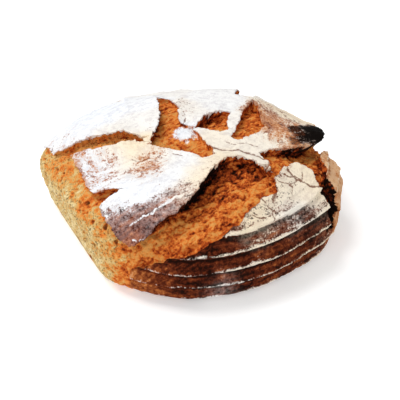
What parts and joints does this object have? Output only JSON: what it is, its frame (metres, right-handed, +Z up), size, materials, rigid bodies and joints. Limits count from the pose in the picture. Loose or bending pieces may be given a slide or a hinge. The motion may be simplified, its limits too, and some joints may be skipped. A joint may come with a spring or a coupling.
{
  "type": "emmer bread loaf",
  "caption": "Round free-standing hearth loaf of emmer bread with a floured, torn crust, basket rings and one pale side where it baked against its neighbour.",
  "frame": {"origin": "middle of the loaf's bounding box, at the level of its flat underside", "axes": "+Z up, +X to the right and +Y to the back as seen from the side the picture shows"},
  "size_m": [0.2598, 0.2296, 0.093],
  "materials": {
    "crust": "dry, matt, floured"
  },
  "bodies": {
    "root": {"loaf": "crust"}
  },
  "joints": []
}
